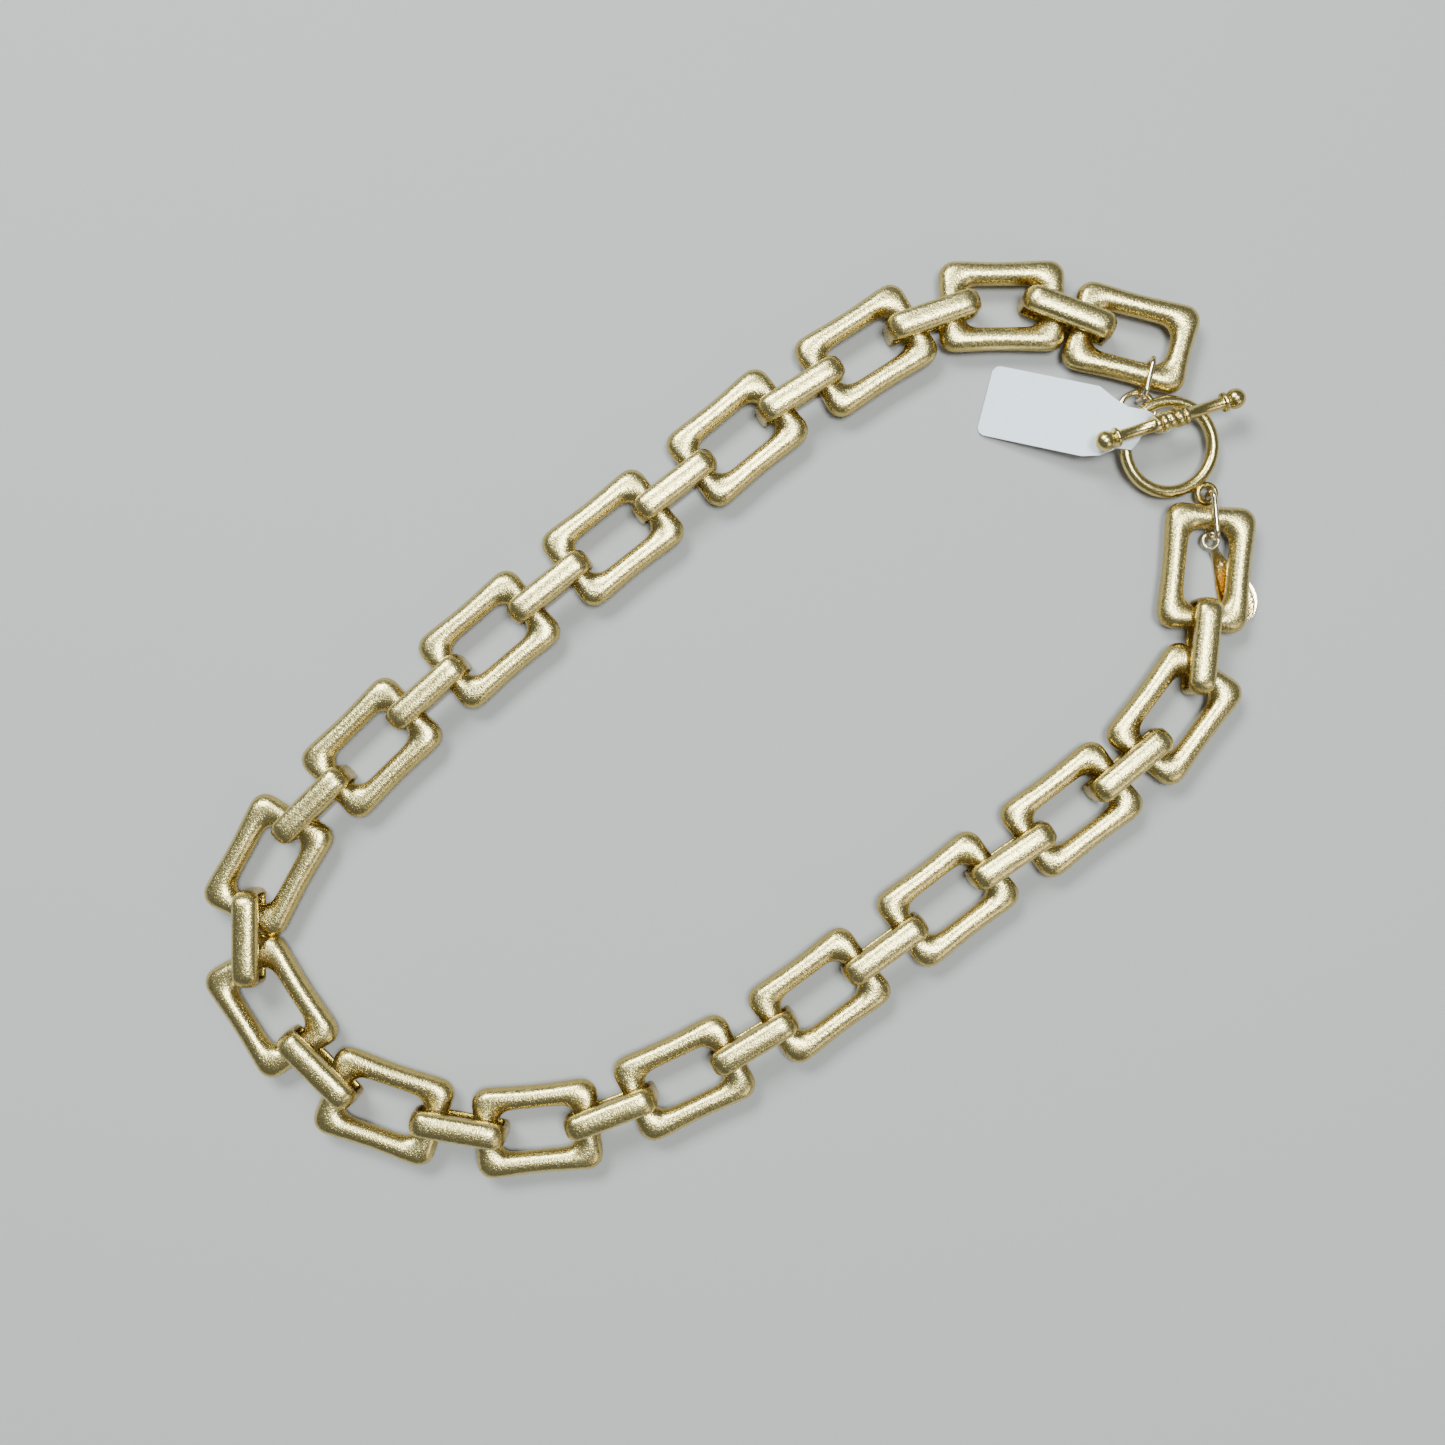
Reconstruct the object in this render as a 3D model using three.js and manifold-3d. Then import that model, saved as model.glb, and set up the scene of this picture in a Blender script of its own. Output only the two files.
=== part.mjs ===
// Chain necklace, lying flat on a table in a closed loop, millimetres, +Z up.
// Seventeen open rectangular links are coupled by sixteen strap-and-bar connectors. The two ends
// meet in a fastened toggle clasp: a round toggle ring on one end, a toggle bar on the other.
import * as THREE from 'three';
import { mergeVertices } from 'three/addons/utils/BufferGeometryUtils.js';
import Module from 'manifold-3d';

const wasm = await Module();
wasm.setup();

const DEG = Math.PI / 180;

// ---------- driving dimensions ----------
const linkLength = 20.4;
const linkWidth = 14.6;
const barWidth = 3.6; // plan width of a link's four bars
const linkHeight = 3.4;
const outerCorner = 3.2; // plan radius of a link's outer corners
const innerCorner = 2.2; // plan radius of the window's corners
const waist = 0.2; // how far the middle of each side is drawn in

const bandThick = 0.8; // flat strap under and at both ends of a connector
const bandWidth = 3.0;
const slotLength = 13.6; // free length inside a connector
const slotHeight = 4.4;
const topWidth = 4.3; // the domed bar on top of a connector
const topHeight = 2.9;

const ringSize = 16.3; // toggle ring, outer diameter
const ringWire = 2.0;
const eyeSize = 3.9; // cast eye on the toggle ring
const eyeWire = 0.95;
const toggleLength = 25.8; // toggle bar over both balls
const rodSize = 1.9;
const ballSize = 3.3;
const jumpWire = 0.9;
const smallJump = 6.7; // outer diameter of the jump ring that passes under the toggle ring
const charmWire = 0.6; // the eye on top of the leaf charm
const charmLength = 13;
const charmWidth = 6;
const charmNeck = 1.2; // width added where the leaf meets its eye
const charmThick = 0.6;
const tagLength = 16.8;
const tagWidth = 11.5;
const tagThick = 0.3;

// ---------- named clearances ----------
const lift = 0.35; // a link's back above the strap it rests over
const snug = 0.35; // least gap between a link's end bar and a connector's end post
const gap = 0.3;

// ---------- how the chain lies: headings in whole degrees, first link to last ----------
const linkHeadings = [
  166, 181, 213, 220, 219, 221, 225, 242, 303, 341, 366, 386, 397, 398, 398, 414, 445,
];
const connectorHeadings = [
  160, 200, 213, 219, 220, 223, 226, 271, 316, 351, 382, 392, 397, 395, 401, 445,
];
const slack = [3.5, 1.6, 0.6, 0.1, 0, 0, 0, 0, 0, 0, 0.1, 0, 0, 1, 2.7, 0.3];
const pivotInset = 5.85; // from a link's edge to the point that a sharp bend turns about
const firstAlong = 10.249; // first link's middle along its side, from the toggle ring's centre
const firstGap = 0.03; // plan gap between the toggle ring and the first link
const hookPlace = [0.383, -3.817]; // last link's end bar from the toggle ring's eye
const eyeHeading = -49.5; // from the toggle ring's centre to its eye
const eyeSink = 0.35; // how far the eye's wire is sunk into the ring's
const closing = 9; // the loop is closed at this connector's far end

// ---------- worked-out sizes ----------
const linkBottom = bandThick + lift;
const topBottom = bandThick + slotHeight;
const endBar = linkLength / 2 - waist - barWidth / 2; // end bar's centre from the link's centre
const sideBar = linkWidth / 2 - waist - barWidth / 2;
// How far a connector runs along an end bar, times the sine of its skew.
const slide = 2 * (linkWidth / 2 - pivotInset);
const eyeOut = ringSize / 2 + eyeSize / 2 - eyeSink;

// ---------- helpers ----------
const turned = (x, y, degrees) => {
  const c = Math.cos(degrees * DEG);
  const s = Math.sin(degrees * DEG);
  return [x * c - y * s, x * s + y * c];
};
const add = (p, q) => [p[0] + q[0], p[1] + q[1]];
const minus = (p, q) => [p[0] - q[0], p[1] - q[1]];
const size = (p) => Math.hypot(p[0], p[1]);

// A closed grid of points, rows by columns, wound round both ways (a ring) or round the columns
// only, with a fan over the first and last row (a loft).
function gridMesh(rows, ring) {
  const cols = rows[0].length;
  const points = rows.flat();
  const index = [];
  const last = ring ? rows.length : rows.length - 1;
  for (let i = 0; i < last; i++) {
    for (let j = 0; j < cols; j++) {
      const a = i * cols + j;
      const b = i * cols + ((j + 1) % cols);
      const c = ((i + 1) % rows.length) * cols + ((j + 1) % cols);
      const d = ((i + 1) % rows.length) * cols + j;
      index.push(a, b, c, a, c, d);
    }
  }
  if (!ring) {
    for (const [row, flip] of [[0, true], [rows.length - 1, false]]) {
      const centre = points.length;
      const sum = rows[row].reduce((s, p) => s.map((v, k) => v + p[k] / cols), [0, 0, 0]);
      points.push(sum);
      for (let j = 0; j < cols; j++) {
        const a = row * cols + j;
        const b = row * cols + ((j + 1) % cols);
        index.push(centre, ...(flip ? [b, a] : [a, b]));
      }
    }
  }
  const g = new THREE.BufferGeometry();
  g.setAttribute('position', new THREE.Float32BufferAttribute(points.flat(), 3));
  g.setIndex(index);
  return outward(g);
}

// Turns a closed geometry's faces outward if its volume comes out negative.
function outward(g) {
  const p = g.getAttribute('position');
  const ix = g.index.array;
  const v = [new THREE.Vector3(), new THREE.Vector3(), new THREE.Vector3()];
  let volume = 0;
  for (let i = 0; i < ix.length; i += 3) {
    v.forEach((q, k) => q.fromBufferAttribute(p, ix[i + k]));
    volume += v[0].dot(v[1].clone().cross(v[2]));
  }
  if (volume < 0) {
    for (let i = 0; i < ix.length; i += 3) {
      [ix[i + 1], ix[i + 2]] = [ix[i + 2], ix[i + 1]];
    }
  }
  return g;
}

function solid(geometry) {
  const g = geometry.clone();
  g.deleteAttribute('normal');
  g.deleteAttribute('uv');
  const merged = mergeVertices(g, 1e-3);
  return new wasm.Manifold(
    new wasm.Mesh({
      numProp: 3,
      vertProperties: merged.attributes.position.array,
      triVerts: new Uint32Array(merged.index.array),
    }),
  );
}

function geometryOf(manifold) {
  const m = manifold.getMesh();
  const g = new THREE.BufferGeometry();
  g.setAttribute('position', new THREE.BufferAttribute(new Float32Array(m.vertProperties), 3));
  g.setIndex(new THREE.BufferAttribute(new Uint32Array(m.triVerts), 1));
  g.computeVertexNormals();
  return g;
}

// A round wire ring, its axis along Z.
const wireRing = (outer, wire, around = 28, section = 8) =>
  new THREE.TorusGeometry((outer - wire) / 2, wire / 2, section, around);

// An oval wire ring in the XZ plane, its lowest point at z = 0, reaching from x = from to x = to.
function ovalRing(from, to, high, wire, round = 1.7) {
  const w = wire / 2;
  const corner = Math.min(round, high / 2 - w, (to - from) / 2 - w);
  const halfX = (to - from) / 2 - w - corner;
  const halfZ = high / 2 - w - corner;
  const rows = [];
  for (const [sx, sz, start] of [[1, 1, 0], [-1, 1, 90], [-1, -1, 180], [1, -1, 270]]) {
    for (const t of [0, 22.5, 45, 67.5, 90]) {
      const [nx, nz] = turned(1, 0, start + t);
      const row = [];
      for (let k = 0; k < 8; k++) {
        const [out, side] = turned(w, 0, k * 45);
        row.push([
          (from + to) / 2 + sx * halfX + nx * (corner + out),
          side,
          high / 2 + sz * halfZ + nz * (corner + out),
        ]);
      }
      rows.push(row);
    }
  }
  return gridMesh(rows, true);
}

// ---------- one link, its long side along X ----------
function rectangle(halfX, halfY, corner, drawn) {
  const out = [];
  const corners = [[1, 1, 0], [-1, 1, 90], [-1, -1, 180], [1, -1, 270]];
  for (const [sx, sy, start] of corners) {
    for (const t of [0, 22.5, 45, 67.5, 90]) {
      const [dx, dy] = turned(corner, 0, start + t);
      out.push([sx * (halfX - corner) + dx, sy * (halfY - corner) + dy]);
    }
    out.push(start % 180 ? [sx * (halfX - drawn), 0] : [0, sy * (halfY - drawn)]);
  }
  return out;
}

function linkGeometry() {
  const outer = rectangle(linkLength / 2, linkWidth / 2, outerCorner, waist);
  const inset = barWidth + waist;
  const inner = rectangle(linkLength / 2 - inset, linkWidth / 2 - inset, innerCorner, 0);
  const dome = [
    [1, 0], [0.8, 0.68], [0.35, 1], [-0.35, 1], [-0.8, 0.68], [-1, 0], [-0.85, -0.5],
    [-0.5, -0.86], [0.5, -0.86], [0.85, -0.5],
  ];
  const low = 0.86;
  const rows = outer.map((o, i) => {
    const n = inner[i];
    return dome.map(([across, up]) => [
      (o[0] + n[0]) / 2 + (across * (o[0] - n[0])) / 2,
      (o[1] + n[1]) / 2 + (across * (o[1] - n[1])) / 2,
      linkBottom + ((up + low) / (1 + low)) * linkHeight,
    ]);
  });
  return gridMesh(rows, true);
}

// ---------- one connector, its long side along X ----------
function connectorGeometry() {
  const half = slotLength / 2 + bandThick;
  const bandTop = topBottom + topHeight * 0.2;
  const side = new THREE.Shape();
  const r = 1.1;
  side.moveTo(-half + r, 0);
  side.lineTo(half - r, 0);
  side.quadraticCurveTo(half, 0, half, r);
  side.lineTo(half, bandTop);
  side.lineTo(-half, bandTop);
  side.lineTo(-half, r);
  side.quadraticCurveTo(-half, 0, -half + r, 0);
  const slot = new THREE.Path();
  const q = 0.5;
  slot.moveTo(-slotLength / 2, topBottom);
  slot.lineTo(slotLength / 2, topBottom);
  slot.lineTo(slotLength / 2, bandThick + q);
  slot.lineTo(slotLength / 2 - q, bandThick);
  slot.lineTo(-slotLength / 2 + q, bandThick);
  slot.lineTo(-slotLength / 2, bandThick + q);
  side.holes.push(slot);
  const band = new THREE.ExtrudeGeometry(side, {
    depth: bandWidth,
    bevelEnabled: false,
    curveSegments: 3,
  });
  band.rotateX(90 * DEG);
  band.translate(0, bandWidth / 2, 0);

  const over = 0.15; // the top bar runs past the band's end posts
  const tip = half + over;
  const section = [
    [1, 0.3], [0.86, 0.72], [0.45, 1], [-0.45, 1], [-0.86, 0.72], [-1, 0.3], [-0.8, 0],
    [0.8, 0],
  ];
  const rows = [
    [-1, 0.5, 0.45], [-0.95, 0.82, 0.8], [-0.82, 1, 1], [0, 1, 1], [0.82, 1, 1],
    [0.95, 0.82, 0.8], [1, 0.5, 0.45],
  ].map(([along, wide, high]) =>
    section.map(([across, up]) => [
      along * tip,
      (across * wide * topWidth) / 2,
      topBottom + (up ? (1 - high) * 0.35 + up * high : 0) * topHeight,
    ]),
  );
  const bar = gridMesh(rows, false);
  return geometryOf(solid(band).add(solid(bar)));
}

// ---------- the lie of the chain, from the toggle ring's centre ----------
const ringEdge = turned(0, -ringSize / 2, linkHeadings[0]); // the side that the first link is on
const firstLink = add(ringEdge, turned(firstAlong, -linkWidth / 2 - firstGap, linkHeadings[0]));
const ringC = add(turned(eyeOut, 0, eyeHeading), hookPlace); // last link's end bar
const lastLink = minus(ringC, turned(endBar, 0, linkHeadings[16]));
const reach = (skew) => {
  const a = Math.abs(skew) * DEG;
  return slotLength / 2 - barWidth / 2 / Math.cos(a) - (bandWidth / 2) * Math.tan(a) - snug;
};

// From link i to link j = i + 1 (step 1) or j = i - 1 (step -1), along the chain's own order.
function nextPlace(place, i, step) {
  const k = step > 0 ? i : i - 1;
  const j = i + step;
  const flip = step > 0 ? 0 : 180;
  const from = linkHeadings[i] + flip;
  const via = connectorHeadings[k] + flip;
  const to = linkHeadings[j] + flip;
  const near = via - from;
  const far = to - via;
  const start = add(place, turned(endBar, slide * Math.sin(near * DEG), from));
  const centre = add(start, turned(reach(near) - slack[k] / 2, 0, via));
  const end = add(centre, turned(reach(far) - slack[k] / 2, 0, via));
  const nextLink = add(end, turned(endBar, -slide * Math.sin(far * DEG), to));
  return { centre, end, nextLink, k, j };
}

const links = [];
const connectors = [];
links[0] = firstLink;
for (let i = 0; i < closing - 1; i++) {
  const n = nextPlace(links[i], i, 1);
  connectors[n.k] = n.centre;
  links[n.j] = n.nextLink;
}
const bridge = nextPlace(links[closing - 1], closing - 1, 1);
links[16] = lastLink;
for (let i = 16; i > closing; i--) {
  const n = nextPlace(links[i], i, -1);
  connectors[n.k] = n.centre;
  links[n.j] = n.nextLink;
}

// Both halves turn a little about their clasp ends until they meet.
const hingeA = add(firstLink, turned(0, sideBar, linkHeadings[0]));
const hingeB = ringC;
const armA = minus(bridge.nextLink, hingeA);
const armB = minus(links[closing], hingeB);
const between = minus(hingeB, hingeA);
const distance = size(between);
const along = (size(armA) ** 2 - size(armB) ** 2 + distance ** 2) / (2 * distance);
const across = Math.sqrt(Math.max(size(armA) ** 2 - along ** 2, 0));
const direction = Math.atan2(between[1], between[0]) / DEG;
const meetA = turned(along, -across, direction);
const meetB = minus(meetA, between);
const angle = (p) => Math.atan2(p[1], p[0]) / DEG;
const wrap = (d) => ((((d + 180) % 360) + 360) % 360) - 180;
const turnA = wrap(angle(meetA) - angle(armA));
const turnB = wrap(angle(meetB) - angle(armB));

const placeA = (p) => add(hingeA, turned(...minus(p, hingeA), turnA));
const placeB = (p) => add(hingeB, turned(...minus(p, hingeB), turnB));
connectors[closing - 1] = bridge.centre;

const group = new THREE.Group();
group.name = 'chain_necklace';
const finish = (name, colour, roughness, metalness) => {
  const m = new THREE.MeshStandardMaterial({ color: colour, roughness, metalness });
  m.name = name;
  return m;
};
function place(name, geometry, material, matrix) {
  const g = geometry.clone();
  g.applyMatrix4(matrix);
  const mesh = new THREE.Mesh(g, material);
  mesh.name = name;
  group.add(mesh);
  return mesh;
}
const at = (x, y, z, heading = 0, tilt = 0, lean = 0) =>
  new THREE.Matrix4()
    .makeTranslation(x, y, z)
    .multiply(new THREE.Matrix4().makeRotationZ(heading * DEG))
    .multiply(new THREE.Matrix4().makeRotationY(-tilt * DEG))
    .multiply(new THREE.Matrix4().makeRotationX(lean * DEG));

const two = (n) => String(n).padStart(2, '0');
const linkShape = linkGeometry();
const connectorShape = connectorGeometry();
links.forEach((p, i) => {
  const first = i < closing;
  const [x, y] = first ? placeA(p) : placeB(p);
  const heading = linkHeadings[i] + (first ? turnA : turnB);
  const gold = finish('worn_gold_link', 0xc9b483, 0.42, 1);
  place('link_' + two(i + 1), linkShape, gold, at(x, y, 0, heading));
});
connectors.forEach((p, k) => {
  const first = k < closing;
  const [x, y] = first ? placeA(p) : placeB(p);
  const heading = connectorHeadings[k] + (first ? turnA : turnB);
  const gold = finish('worn_gold_connector', 0xc4ae7c, 0.4, 1);
  place('connector_' + two(k + 1) + '_' + two(k + 2), connectorShape, gold, at(x, y, 0, heading));
});

// ---------- the clasp: the toggle ring's centre is the plan origin here ----------
const ringTilt = -6.5; // the eye end lies lowest
const ringMid = 2.85;
const gold = () => finish('worn_gold_clasp', 0xcdb988, 0.3, 1);

const eye = wireRing(eyeSize, eyeWire, 20, 8).translate(eyeOut, 0, 0);
const ringBody = solid(wireRing(ringSize, ringWire, 36, 10)).add(solid(eye));
place('toggle_ring', geometryOf(ringBody), gold(), at(0, 0, ringMid, eyeHeading, ringTilt));

// Toggle bar along X, its eye hanging below the middle on a short shank.
const barInset = [-2.772, -4.258]; // the bar's middle from the ring's edge
const barHigh = 6.45;
const barPlace = [...add(ringEdge, barInset), barHigh];
const barHeading = 18.6;
const barTilt = -6; // the left ball lies highest, over the tag and the ring
const shankHeading = 165; // from the shank toward the small jump ring
const hangWire = 0.85;
const hangHigh = 3.1; // the loop under the bar
const hangFrom = -0.65;
const hangTo = 3.5;
const hangFoot = 0.15;
const halfRod = toggleLength / 2 - ballSize / 2;
function toggleProfile() {
  const rod = rodSize / 2;
  const collar = 1.65;
  const ball = ballSize / 2;
  const points = [];
  const ballNeck = Math.sqrt(ball ** 2 - 0.9 ** 2);
  for (const t of [0, 25, 50, 75, 100, 125, 143]) {
    points.push([ball * Math.sin(t * DEG), halfRod + ball * Math.cos(t * DEG)]);
  }
  points.push([1.0, halfRod - ballNeck - 0.1]);
  points.push([1.6, halfRod - ballNeck - 0.25]);
  points.push([1.6, halfRod - ballNeck - 0.85]);
  points.push([rod, halfRod - ballNeck - 1.1]);
  points.push([rod, 2.95]);
  points.push([collar - 0.1, 2.7]);
  points.push([collar - 0.1, 2.1]);
  points.push([1.15, 1.9]);
  points.push([collar, 1.65]);
  points.push([collar, 0.95]);
  points.push([1.2, 0.75]);
  points.push([1.4, 0.3]);
  const other = points.map(([r, y]) => [r, -y]).reverse();
  return [...points, ...other].map(([r, y]) => new THREE.Vector2(Math.max(r, 0), -y));
}
function toggleBarGeometry() {
  const profile = toggleProfile();
  profile[0].x = 0;
  profile[profile.length - 1].x = 0;
  const turnedBar = new THREE.LatheGeometry(profile, 12);
  turnedBar.rotateZ(90 * DEG);
  const foot = hangFoot - barPlace[2];
  const shankLow = foot + hangHigh - 0.7;
  const shank = new THREE.CylinderGeometry(0.5, 0.5, -0.8 - shankLow, 8);
  shank.rotateX(90 * DEG);
  shank.translate(0, 0, (shankLow - 0.8) / 2);
  const hang = ovalRing(hangFrom, hangTo, hangHigh, hangWire);
  hang.translate(0, 0, foot);
  hang.rotateZ((shankHeading - barHeading) * DEG);
  return geometryOf(solid(turnedBar).add(solid(shank)).add(solid(hang)));
}
place('toggle_bar', toggleBarGeometry(), gold(), at(...barPlace, barHeading, barTilt));

// Large jump ring, an oval on edge round the first link's lower side and the small jump ring.
const brightGold = () => finish('bright_gold_wire', 0xd9c590, 0.22, 1);
const sideDirection = linkHeadings[0];
const ringAlong = -4; // along the link's side from its middle
const hookOut = 2.75; // the small jump ring's wire, from the side bar's centre
const ringHigh = linkBottom + linkHeight + gap + jumpWire;
const innerReach = barWidth / 2 + gap + jumpWire;
const ringA = add(firstLink, turned(ringAlong, sideBar, sideDirection));
place(
  'large_jump_ring',
  ovalRing(-innerReach, hookOut + gap - 0.1 + 1.5 * jumpWire, ringHigh, jumpWire, 1.3),
  brightGold(),
  at(ringA[0], ringA[1], 0, sideDirection + 90),
);

// Small jump ring, nearly flat, from the large jump ring to the toggle bar's loop.
const smallArc = (smallJump - jumpWire) / 2;
const smallMid = add(ringA, turned(hookOut + smallArc, 0, sideDirection + 90));
const smallHeading = -50;
place(
  'small_jump_ring',
  wireRing(smallJump, jumpWire, 24, 8),
  brightGold(),
  at(smallMid[0], smallMid[1], 2.0, smallHeading, -6),
);

// Clasp jump ring, an oval on edge round the last link's end bar and the toggle ring's eye.
const lastDirection = linkHeadings[16];
const charmReach = innerReach + gap + charmWire;
place(
  'clasp_jump_ring',
  ovalRing(-charmReach, barWidth / 2 + 2 * gap + 2 * jumpWire, ringHigh, jumpWire, 1),
  brightGold(),
  at(ringC[0], ringC[1], 0, lastDirection + 10),
);

// Leaf charm: a cupped drop with a flat eye round the clasp jump ring, running down to the table
// and on under the last link's side.
function charmGeometry() {
  const rows = [];
  const steps = 12;
  const sides = [-1, -0.6, 0, 0.6, 1];
  const topHigh = 0.7;
  for (let i = 0; i <= steps; i++) {
    const t = i / steps;
    const drop = Math.sin(Math.PI * (0.03 + 0.955 * t) ** 1.8) ** 0.7;
    const width = charmWidth * drop + charmNeck * (1 - t) ** 6;
    const low = 0.1 + topHigh * Math.max(0, 1 - (t * charmLength) / 2.6);
    const dish = (s) => low + charmThick - 0.3 * (1 - s * s) * Math.sin(Math.PI * t);
    rows.push([
      ...sides.map((s) => [t * charmLength, (s * width) / 2, dish(s)]),
      ...[...sides].reverse().map((s) => [t * charmLength, (s * width * 0.9) / 2, low]),
    ]);
  }
  const blade = solid(gridMesh(rows, false));
  const loop = wireRing(3.1, charmWire, 16, 8);
  loop.translate(-1.3, 0, 1.65);
  return geometryOf(blade.add(solid(loop)));
}
const charmHeading = -63;
const charmHook = add(ringC, turned(-charmReach + jumpWire / 2, 0, lastDirection + 10));
const charmTop = add(charmHook, turned(1.5, -0.1, charmHeading));
place('leaf_charm', charmGeometry(), gold(), at(charmTop[0], charmTop[1], 0, charmHeading));

// Paper tag: a sheet that climbs from the table over the toggle ring to the shank.
function tagGeometry() {
  const far = tagLength + 11.5; // body's far end from the shank
  const high = 3.1;
  const low = high - tagWidth;
  const outline = [
    // along from the shank, low edge, high edge, height of the underside
    [0, -0.9, 0.9, 3.6],
    [-1.9, -0.9, 0.9, 3.8],
    [-2.9, -1.9, 0.9, 4.75],
    [-3.6, -4.2, 0.9, 5.1],
    [-4.4, -5.8, 0.8, 5.3],
    [-6.6, -6.1, 0.7, 5.25],
    [-8.8, low + 0.7, 1.6, 4.55],
    [-11.5, low, high, 3.8],
    [-17, low, high, 2.65],
    [-22, low, high, 1.6],
    [-far + 0.7, low, high, 0.45],
    [-far, low + 0.7, high - 0.7, 0.3],
  ];
  const rows = outline.map(([x, from, to, z]) => [
    [x, from, z],
    [x, to, z],
    [x, to, z + tagThick],
    [x, from, z + tagThick],
  ]);
  const sheet = solid(gridMesh(rows, false));
  const collar = new THREE.CylinderGeometry(1.5, 1.5, 0.6, 16);
  collar.rotateX(90 * DEG).translate(0, 0, 3.75);
  const hole = new THREE.CylinderGeometry(0.95, 0.95, 2, 16);
  hole.rotateX(90 * DEG).translate(0, 0, 3.7);
  return geometryOf(sheet.add(solid(collar)).subtract(solid(hole)));
}
const paper = finish('white_paper', 0xf2f5f8, 0.8, 0);
const tagPin = add(barPlace, turned(-2.6 * Math.sin(-barTilt * DEG), 0, barHeading));
place('paper_tag', tagGeometry(), paper, at(tagPin[0], tagPin[1], 0, -14.5));

// ---------- the whole, its footprint centred on the origin ----------
const box = new THREE.Box3().setFromObject(group);
const shift = new THREE.Matrix4().makeTranslation(
  -(box.min.x + box.max.x) / 2,
  -(box.min.y + box.max.y) / 2,
  -box.min.z,
);
group.traverse((o) => {
  if (o.isMesh) {
    o.geometry.applyMatrix4(shift);
    o.geometry.computeVertexNormals();
  }
});

export default group;
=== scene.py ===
"""Chain necklace with a toggle clasp, laid out flat in a closed loop.

Seventeen open rectangular links, sixteen strap-and-bar connectors, three jump rings, a toggle
ring, a toggle bar, a leaf charm and a blank paper tag. Sizes are metres unless a name says so.
"""

import math

import bmesh
import bpy
import numpy as np
from bpy.props import FloatProperty, FloatVectorProperty, PointerProperty
from mathutils import Matrix, Vector


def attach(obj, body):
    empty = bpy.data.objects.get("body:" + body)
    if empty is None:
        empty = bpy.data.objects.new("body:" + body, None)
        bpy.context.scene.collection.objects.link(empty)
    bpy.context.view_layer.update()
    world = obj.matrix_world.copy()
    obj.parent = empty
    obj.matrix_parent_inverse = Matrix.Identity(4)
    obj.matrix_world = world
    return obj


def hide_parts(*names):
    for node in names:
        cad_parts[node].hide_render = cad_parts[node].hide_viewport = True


bl_info = {
    "name": "Toggle chain necklace",
    "version": (1, 0, 0),
    "blender": (4, 5, 0),
    "location": "3D View > Sidebar > Necklace",
    "description": "Builds a worn gold chain necklace with a toggle clasp, a charm and a tag",
    "category": "Object",
}

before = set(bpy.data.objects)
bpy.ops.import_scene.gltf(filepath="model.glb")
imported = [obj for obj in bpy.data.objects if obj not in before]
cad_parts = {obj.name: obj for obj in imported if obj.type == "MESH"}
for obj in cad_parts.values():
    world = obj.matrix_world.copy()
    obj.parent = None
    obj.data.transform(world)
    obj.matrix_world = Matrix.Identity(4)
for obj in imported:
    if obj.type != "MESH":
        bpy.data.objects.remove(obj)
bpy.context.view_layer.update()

MM = 0.001
CORNERS = ((1, 1), (-1, 1), (-1, -1), (1, -1))


# ---------------------------------------------------------------- sizes and colours


def length(name, description, default):
    return FloatProperty(
        name=name, description=description, default=default, min=0.0, unit="LENGTH", precision=5
    )


def degrees(name, description, default):
    return FloatProperty(
        name=name, description=description, default=math.radians(default), subtype="ANGLE"
    )


def colour(name, description, default):
    return FloatVectorProperty(
        name=name, description=description, default=default, size=3, min=0, max=1, subtype="COLOR"
    )


class LinkSizes(bpy.types.PropertyGroup):
    length: length("Length", "Outside length of a link", 0.0204)
    width: length("Width", "Outside width of a link", 0.0146)
    bar: length("Bar", "Plan width of a link's four bars", 0.0036)
    height: length("Height", "Thickness of a link from back to crown", 0.0034)
    back: length("Back", "Height of a link's back above the table", 0.00115)
    outer_corner: length("Outer corner", "Plan radius of the outside corners", 0.0027)
    inner_corner: length("Inner corner", "Plan radius of the window's corners", 0.0022)
    waist: length("Waist", "How far the middle of each outer side is drawn in", 0.00032)


class ConnectorSizes(bpy.types.PropertyGroup):
    slot: length("Slot", "Free length inside a connector", 0.0136)
    slot_height: length("Slot height", "Free height over the strap", 0.0044)
    strap: length("Strap", "Thickness of the strap and the end posts", 0.0008)
    strap_width: length("Strap width", "Width of the strap", 0.0030)
    top_width: length("Top width", "Width of the domed bar", 0.0043)
    top_height: length("Top height", "Height of the domed bar", 0.0029)


class ClaspSizes(bpy.types.PropertyGroup):
    ring: length("Toggle ring", "Outside diameter of the toggle ring", 0.0163)
    ring_wire: length("Ring wire", "Wire diameter of the toggle ring", 0.0020)
    eye: length("Eye", "Outside diameter of the toggle ring's eye", 0.0039)
    eye_wire: length("Eye wire", "Wire diameter of the eye", 0.00095)
    bar: length("Toggle bar", "Length of the toggle bar over its balls", 0.0258)
    rod: length("Rod", "Diameter of the toggle bar's rod", 0.0020)
    ball: length("Ball", "Diameter of the end balls", 0.0033)
    jump_wire: length("Jump wire", "Wire diameter of the jump rings", 0.0009)
    small_jump: length("Small jump ring", "Outside diameter of the small jump ring", 0.0067)
    bar_tilt: degrees("Bar tilt", "Slope of the toggle bar", -6)
    ring_tilt: degrees("Ring tilt", "Slope of the toggle ring", -6.5)


class CharmSizes(bpy.types.PropertyGroup):
    length: length("Length", "Length of the leaf", 0.0130)
    width: length("Width", "Widest width of the leaf", 0.0060)
    neck: length("Neck", "Width added where the leaf meets its eye", 0.0012)
    thick: length("Thickness", "Thickness at the leaf's rim", 0.0006)
    eye_wire: length("Eye wire", "Wire diameter of the charm's eye", 0.0006)


class TagSizes(bpy.types.PropertyGroup):
    thick: length("Thickness", "Thickness of the card", 0.0003)


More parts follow.
